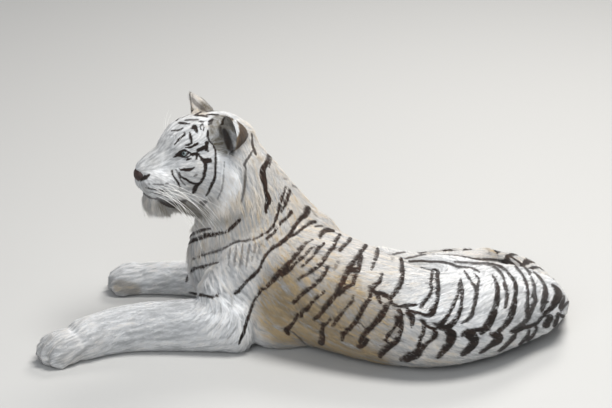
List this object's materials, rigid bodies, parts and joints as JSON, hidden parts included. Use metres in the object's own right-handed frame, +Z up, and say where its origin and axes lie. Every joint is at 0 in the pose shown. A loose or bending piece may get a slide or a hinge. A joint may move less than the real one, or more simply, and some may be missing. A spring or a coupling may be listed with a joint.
{
  "type": "lying white tiger figure",
  "caption": "Life-size still model of a white tiger lying with its head raised, hips rolled to one side, forelegs stretched forward and tail curled round behind.",
  "frame": {"origin": "on the floor, under the middle of the animal's bounding box", "axes": "+Z up; the tiger faces -X, and its left side, the one nearest the viewer, is towards -Y"},
  "size_m": [1.8272, 1.1486, 0.829],
  "materials": {
    "coat": "short dense white fur with dark brown stripes",
    "ear_fur": "short fur, grey tan inside, dark behind",
    "eye": "wet, pale blue iris",
    "nose_leather": "dull, fine grained"
  },
  "bodies": {
    "root": {"head": "coat", "lower_jaw": "coat", "neck": "coat", "chest": "coat", "loin": "coat", "rump": "coat", "tail": "coat", "tail_end": "coat", "left_foreleg": "coat", "left_forepaw": "coat", "right_foreleg": "coat", "right_forepaw": "coat", "left_hind_leg": "coat", "right_hind_leg": "coat", "left_ear": "ear_fur", "right_ear": "ear_fur", "left_eye": "eye", "right_eye": "eye", "nose": "nose_leather"}
  },
  "joints": []
}
